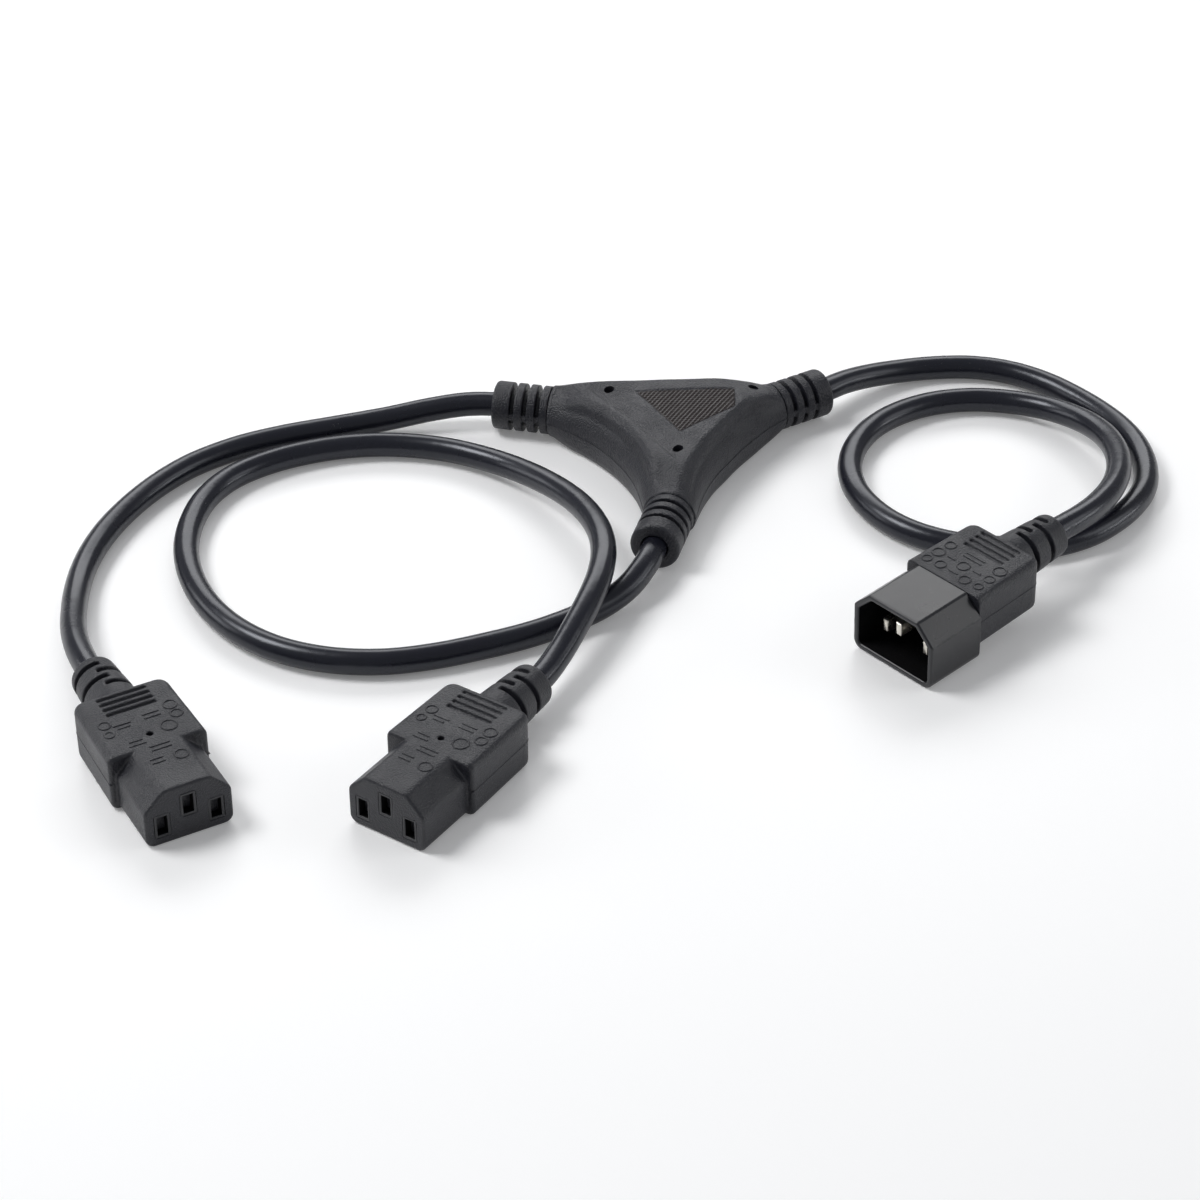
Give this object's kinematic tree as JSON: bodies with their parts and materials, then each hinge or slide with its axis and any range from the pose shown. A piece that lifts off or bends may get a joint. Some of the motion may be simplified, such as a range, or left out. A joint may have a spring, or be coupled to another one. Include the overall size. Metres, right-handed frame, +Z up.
{
  "type": "power cord splitter",
  "caption": "Black mains cord splitter: a three-armed moulded block joins a cord with a recessed-pin plug to cords with slotted outlets.",
  "frame": {"origin": "middle of the splitter block's underside, on the table", "axes": "+X along the supply arm, +Z up, +Y across the block towards the arm of outlet A"},
  "size_m": [0.3212, 0.1958, 0.0213],
  "materials": {
    "soft": "fine grained black flexible plastic",
    "grip": "satin black flexible plastic",
    "cord": "smooth black cord jacket",
    "hard": "smooth black hard plastic",
    "insert": "black hard plastic",
    "nickel": "nickel plated brass",
    "brass": "bare brass",
    "carrier": "natural nylon",
    "line_wire": "brown wire insulation",
    "neutral_wire": "blue wire insulation",
    "earth_wire": "green and yellow wire insulation"
  },
  "bodies": {
    "root": {"splitter_cover": "soft", "splice_tray": "carrier", "splice_line": "brass", "splice_neutral": "brass", "splice_earth": "brass", "supply_line_wire": "line_wire", "supply_neutral_wire": "neutral_wire", "supply_earth_wire": "earth_wire", "outlet_a_line_wire": "line_wire", "outlet_a_neutral_wire": "neutral_wire", "outlet_a_earth_wire": "earth_wire", "outlet_b_line_wire": "line_wire", "outlet_b_neutral_wire": "neutral_wire", "outlet_b_earth_wire": "earth_wire", "outlet_a_body": "grip", "outlet_a_insert": "insert", "outlet_a_line_contact": "brass", "outlet_a_earth_contact": "brass", "outlet_a_neutral_contact": "brass", "outlet_a_end_line_wire": "line_wire", "outlet_a_end_earth_wire": "earth_wire", "outlet_a_end_neutral_wire": "neutral_wire", "outlet_b_body": "grip", "outlet_b_insert": "insert", "outlet_b_line_contact": "brass", "outlet_b_earth_contact": "brass", "outlet_b_neutral_contact": "brass", "outlet_b_end_line_wire": "line_wire", "outlet_b_end_earth_wire": "earth_wire", "outlet_b_end_neutral_wire": "neutral_wire", "plug_body": "grip", "plug_shroud": "hard", "plug_line_pin": "nickel", "plug_earth_pin": "nickel", "plug_neutral_pin": "nickel", "plug_line_wire": "line_wire", "plug_earth_wire": "earth_wire", "plug_neutral_wire": "neutral_wire", "supply_cord": "cord", "outlet_a_cord": "cord", "outlet_b_cord": "cord"}
  },
  "joints": []
}
